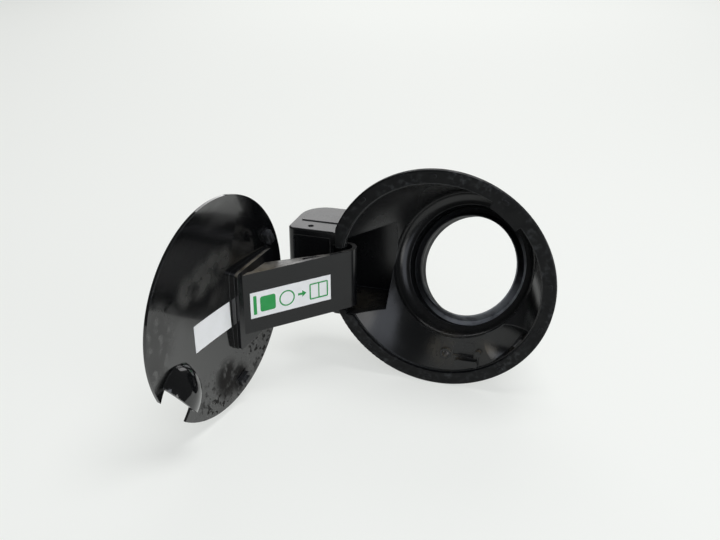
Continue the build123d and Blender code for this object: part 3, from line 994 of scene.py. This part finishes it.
@dataclass
class Door:
    """The door panel on its arm, with buffers and stickers."""

    body: str = "door"
    merge_mm: float = 0.0001
    stray_normal: float = 0.9
    # Dirt on the inner face, darkened so that it also paints the shade by the lower buffer.
    dirt_and_shade: tuple[Deposit, ...] = (
        Deposit((-124, -80, -56), 19, 1.0),
        Deposit((-122, -68, -61), 15, 1.0),
        Deposit((-136, -152, 4), 34, 0.4),
    )
    mottle: tuple[Deposit, ...] = (
        Deposit((-118, -90, -75), 42, 1.0),
        Deposit((-112, -45, -45), 30, 1.0),
    )
    # Where grey haze paints a reflection of the bright floor on the inner face, with a faint even
    # sheen over the whole face.
    haze_and_reflection: tuple[Deposit, ...] = (
        Deposit((-132, -112, 24), 15, 0.8),
        Deposit((-130, -98, 25), 17, 1.0),
        Deposit((-129, -84, 27), 17, 1.0),
        Deposit((-128, -72, 30), 13, 0.8),
        Deposit((-129, -80, 4), 14, 0.4),
        Deposit((-128, -100, 10), 110, 0.04),
    )
    deposits: tuple[Deposit, ...] = (
        Deposit((-112, -58, 16), 26, 0.3),
        Deposit((-110, -45, 16), 20, 0.25),
    )
    sticker_outward: Triple = (0.3, -0.95, 0)
    ink_bar: Tile = Tile(left=2.2, low=2.5, width=2.4, height=14.0, corner=0.5)
    ink_tile: Tile = Tile(left=7.2, low=3.6, width=11.4, height=11.4, corner=1.6)
    ink_ring: Ring = Ring(across=27.2, up=9.3, radius=5.9, line=1.0)
    ink_arrow: Arrow = Arrow(left=35.6, up=9.8, length=6.4, width=5.0)
    ink_frame: Tile = Tile(left=44.4, low=3.4, width=14.4, height=12.2, corner=1.0)
    ink_frame_line: float = 1.0
    ink_divider: Tile = Tile(left=51.2, low=4.4, width=0.9, height=10.2)

    def build(self) -> None:
        """Dress every piece of the door and print the arm's sticker."""
        # Gloss paint mirrors the floor clearly, and goes dull where dirt lies on it; the dirt is
        # darkened to paint shade by the lower buffer, and grey haze paints a reflection.
        gloss = GlossPanel("abs_painted_gloss", self.dirt_and_shade, self.mottle, self.haze_and_reflection).material()
        dress("door_panel", gloss)
        self.skin(gloss)
        # The arm's polyamide is a little glossier than the bowl, with beige dust on its upper web
        # and a thick grey film on its upper faces that paints the sheen of the lit top.
        arm = SatinMoulding(
            "polyamide_moulded_satin",
            Colour.ARM_BLACK,
            roughness=0.2,
            grain_mm=0.7,
            edge_mm=0.7,
            dust_and_sheen_share=0.55,
            deposits=self.deposits,
        )
        dress("hinge_arm", arm.material())
        # Buffer rubber is dark and dull, with dry worn corners whose pale paint also stands for a
        # painted edge highlight.
        rubber = SoftRubber(
            "rubber_moulded_buffer", Colour.RUBBER_BLACK, roughness=0.42, wear=0.4, specular=0.5
        ).material()
        dress("upper_buffer", rubber)
        dress("lower_buffer", rubber)
        # White vinyl film is smooth and bright, faintly aged.
        film = PrintedFilm("vinyl_film_white", Colour.FILM_WHITE, Colour.FILM_AGED).material()
        dress("arm_label", film)
        dress("door_label", film)
        self.prints()

    def skin(self, gloss: bpy.types.Material) -> None:
        """Show the panel through a merged copy whose normals are true in the middle of its dome.

        Args:
            gloss: The panel's finish.
        """
        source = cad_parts["door_panel"].data
        smooth = {
            key: source.corner_normals[corner].vector.copy()
            for corner, key in corner_keys(source).items()
        }
        piece = bpy.data.objects.new("door_panel_skin", source.copy())
        bpy.context.scene.collection.objects.link(piece)
        begin()
        piece.select_set(True)
        bpy.context.view_layer.objects.active = piece
        bpy.ops.object.mode_set(mode="EDIT")
        bpy.ops.mesh.select_all(action="SELECT")
        bpy.ops.mesh.remove_doubles(threshold=self.merge_mm * MM)
        bpy.ops.object.mode_set(mode="OBJECT")
        keys = corner_keys(piece.data)
        normals = [Vector(UP)] * len(piece.data.loops)
        for face in piece.data.polygons:
            for corner in face.loop_indices:
                normal = smooth.get(keys[corner], face.normal)
                stray = normal.dot(face.normal) < self.stray_normal
                normals[corner] = (face.normal if stray else normal).copy()
        piece.data.normals_split_custom_set(normals)
        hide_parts("door_panel")
        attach(piece, self.body)
        LOG.info("dressed %s in %s", piece.name, gloss.name)

    def prints(self) -> None:
        """Print plain generic shapes on the arm's sticker; the door's one stays bare."""
        # Screen ink is even and opaque, with the same slight shine as the film.
        green = PrintedFilm("ink_screened_green", Colour.PRINT_GREEN, Colour.PRINT_GREEN_WORN)
        arm = LabelPrint(FilmFrame("arm_label", Vector(self.sticker_outward)))
        arm.tile(self.ink_bar)
        arm.tile(self.ink_tile)
        arm.ring(self.ink_ring)
        arm.arrow(self.ink_arrow)
        arm.frame(self.ink_frame, self.ink_frame_line)
        arm.tile(self.ink_divider)
        arm.lay("arm_label_print", self.body, green.material())


@dataclass(frozen=True)
class Softbox:
    """A square soft light that looks at the part, and whether gloss mirrors it."""

    name: str
    place_m: Triple
    watts: float
    size_m: float
    mirrored: bool = True
    tint: Triple = (1.0, 1.0, 1.0)


@dataclass
class Studio:
    """Camera, floor and soft light."""

    eye_mm: Triple = (136.35, -594.8, 288.1)
    azimuth: float = 18.03
    elevation: float = 24.77
    roll: float = -0.25
    focal_px: float = 980.5
    image_px: float = 720.0
    film_mm: float = 36.0
    clip_m: float = 0.01
    floor_mm: float = -80.0
    floor_size: float = 12.0
    floor_roughness: float = 0.9
    even_share: float = 0.62
    world_light: float = 0.09
    softboxes: tuple[Softbox, ...] = (
        Softbox("softbox_top", (0.25, 0.1, 1.4), 14.0, 0.8, mirrored=False),
        Softbox("softbox_back", (-0.35, 1.5, 0.9), 15.0, 1.6),
        Softbox("softbox_front", (0.55, -1.15, 0.95), 5.4, 1.0, tint=(0.9, 0.95, 1.06)),
        Softbox("softbox_right", (1.25, -0.85, 0.5), 5.0, 0.7),
    )

    def build(self) -> None:
        """Set up the stage."""
        bpy.context.scene.view_settings.view_transform = "Standard"
        self.camera()
        self.floor()
        self.light()

    def camera(self) -> None:
        """Place the camera at the picture's viewing angle."""
        az, el, roll = (math.radians(a) for a in (self.azimuth, self.elevation, self.roll))
        ahead = Vector((-math.sin(az) * math.cos(el), math.cos(az) * math.cos(el), -math.sin(el)))
        right = Vector((math.cos(az), math.sin(az), 0))
        up = right.cross(ahead)
        right, up = (
            right * math.cos(roll) + up * math.sin(roll),
            up * math.cos(roll) - right * math.sin(roll),
        )
        turn = Matrix((right, up, -ahead)).transposed().to_4x4()
        turn.translation = Vector(self.eye_mm) * MM
        data = bpy.data.cameras.new("camera")
        data.sensor_fit = "HORIZONTAL"
        data.sensor_width = self.film_mm
        data.lens = self.focal_px / self.image_px * self.film_mm
        data.clip_start = self.clip_m
        eye = bpy.data.objects.new("camera", data)
        eye.matrix_world = turn
        bpy.context.scene.collection.objects.link(eye)
        bpy.context.scene.camera = eye

    def floor(self) -> None:
        """Lay a plain pale floor that looks even to the camera and in reflections."""
        begin()
        bpy.ops.mesh.primitive_plane_add(
            size=self.floor_size, location=(0, 0, self.floor_mm * MM)
        )
        sheet = bpy.context.object
        sheet.name = "floor"
        # Pale paper is matte and even, and part of it is self-lit where it is only looked at.
        s = Surface("paper_pale_matte", Colour.PAPER, self.floor_roughness)
        paper = s.finish({"Specular IOR Level": 0.0})
        path = s.add("ShaderNodeLightPath").outputs
        looked_at = s.join(
            Join.EITHER, path["Is Camera Ray"], path["Is Glossy Ray"], path["Is Transmission Ray"]
        )
        glow = s.add("ShaderNodeEmission", {"Color": linear(Colour.PAPER), "Strength": 1.0})
        mixed = s.add(
            "ShaderNodeMixShader",
            {
                0: s.join(Join.OVERLAP, looked_at, self.even_share),
                1: s.shader.outputs["BSDF"],
                2: glow.outputs["Emission"],
            },
        )
        s.wire(s.output, {"Surface": mixed.outputs["Shader"]})
        sheet.data.materials.append(paper)

    def light(self) -> None:
        """Hang the soft lights and set an even world."""
        world = bpy.data.worlds.new("studio")
        world.use_nodes = True
        background = world.node_tree.nodes["Background"].inputs
        background["Color"].default_value = (1, 1, 1, 1)
        background["Strength"].default_value = self.world_light
        bpy.context.scene.world = world
        for box in self.softboxes:
            data = bpy.data.lights.new(box.name, "AREA")
            data.energy = box.watts
            data.size = box.size_m
            data.color = box.tint
            lamp = bpy.data.objects.new(box.name, data)
            lamp.visible_glossy = box.mirrored
            lamp.location = box.place_m
            lamp.rotation_euler = Vector(box.place_m).to_track_quat("Z", "Y").to_euler()
            bpy.context.scene.collection.objects.link(lamp)


def main() -> None:
    """Build the part's looks and the studio."""
    logging.basicConfig(level=logging.INFO, format="%(message)s")
    Studio().build()
    Bowl().build()
    Door().build()


if __name__ == "__main__":
    main()
